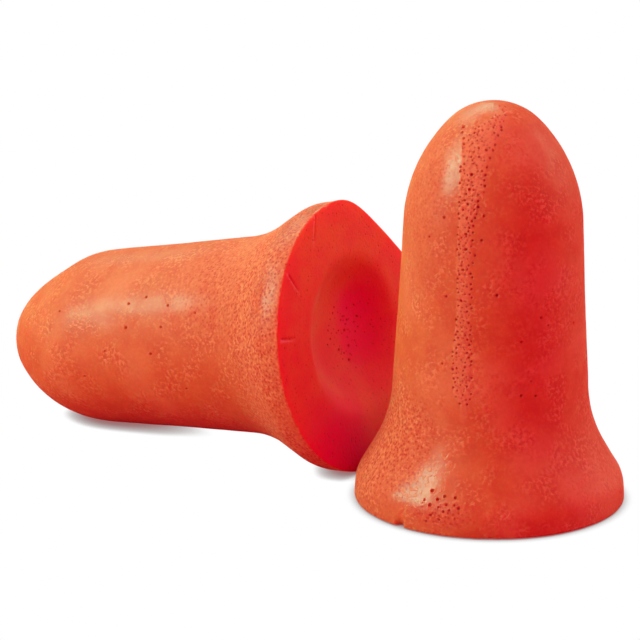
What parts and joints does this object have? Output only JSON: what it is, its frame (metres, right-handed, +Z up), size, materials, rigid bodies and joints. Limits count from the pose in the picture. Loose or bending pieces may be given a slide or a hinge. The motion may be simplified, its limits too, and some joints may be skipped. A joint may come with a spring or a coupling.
{
  "type": "foam ear plugs",
  "caption": "Bell-shaped soft foam ear plugs with domed noses, tapering stalks and flared, dimpled bases, rolled thin and pushed into the ear canal to keep out noise.",
  "frame": {"origin": "centre of the upright plug's base, on the surface that both plugs rest on", "axes": "+Z up along the upright plug's axis, +X to the right, away from the side where the lying plug is, and +Y away from the viewer"},
  "size_m": [0.0379, 0.0293, 0.0242],
  "materials": {
    "foam": "matte"
  },
  "bodies": {
    "upright": {"upright_plug": "foam"},
    "lying": {"lying_plug": "foam"}
  },
  "joints": [
    {"name": "lying_plug_lift", "type": "slide", "parent": "upright", "child": "lying", "axis": [0, 0, 1], "range_m": [0, 0.04]}
  ]
}
